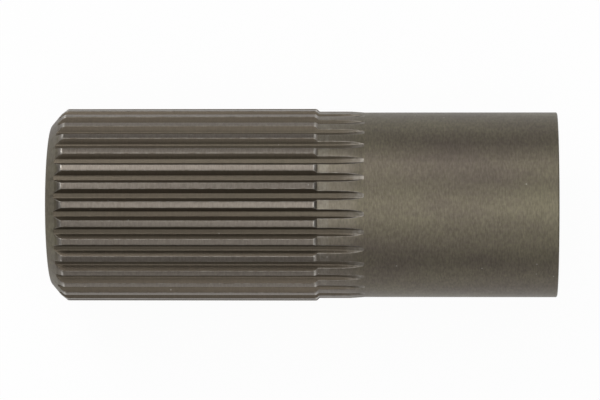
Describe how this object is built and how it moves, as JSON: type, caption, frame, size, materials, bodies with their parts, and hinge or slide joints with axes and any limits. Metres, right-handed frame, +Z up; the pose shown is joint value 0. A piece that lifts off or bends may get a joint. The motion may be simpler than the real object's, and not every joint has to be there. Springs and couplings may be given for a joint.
{
  "type": "half shaft",
  "caption": "Splined end of a driving axle's half shaft: bevelled nose, involute spline with hob run-out, and plain round shank.",
  "frame": {"origin": "centre of the flat face at the splined end, on the shaft's axis", "axes": "+X along the shaft's axis, from the splined end to the plain end; +Z up, with a space between two teeth facing straight down, so that the shaft lies level on two teeth; +Y across"},
  "size_m": [0.11, 0.0416, 0.0416],
  "materials": {
    "dark_steel": "turned and hobbed steel, dark oiled, satin"
  },
  "bodies": {
    "root": {"half_shaft": "dark_steel"}
  },
  "joints": []
}
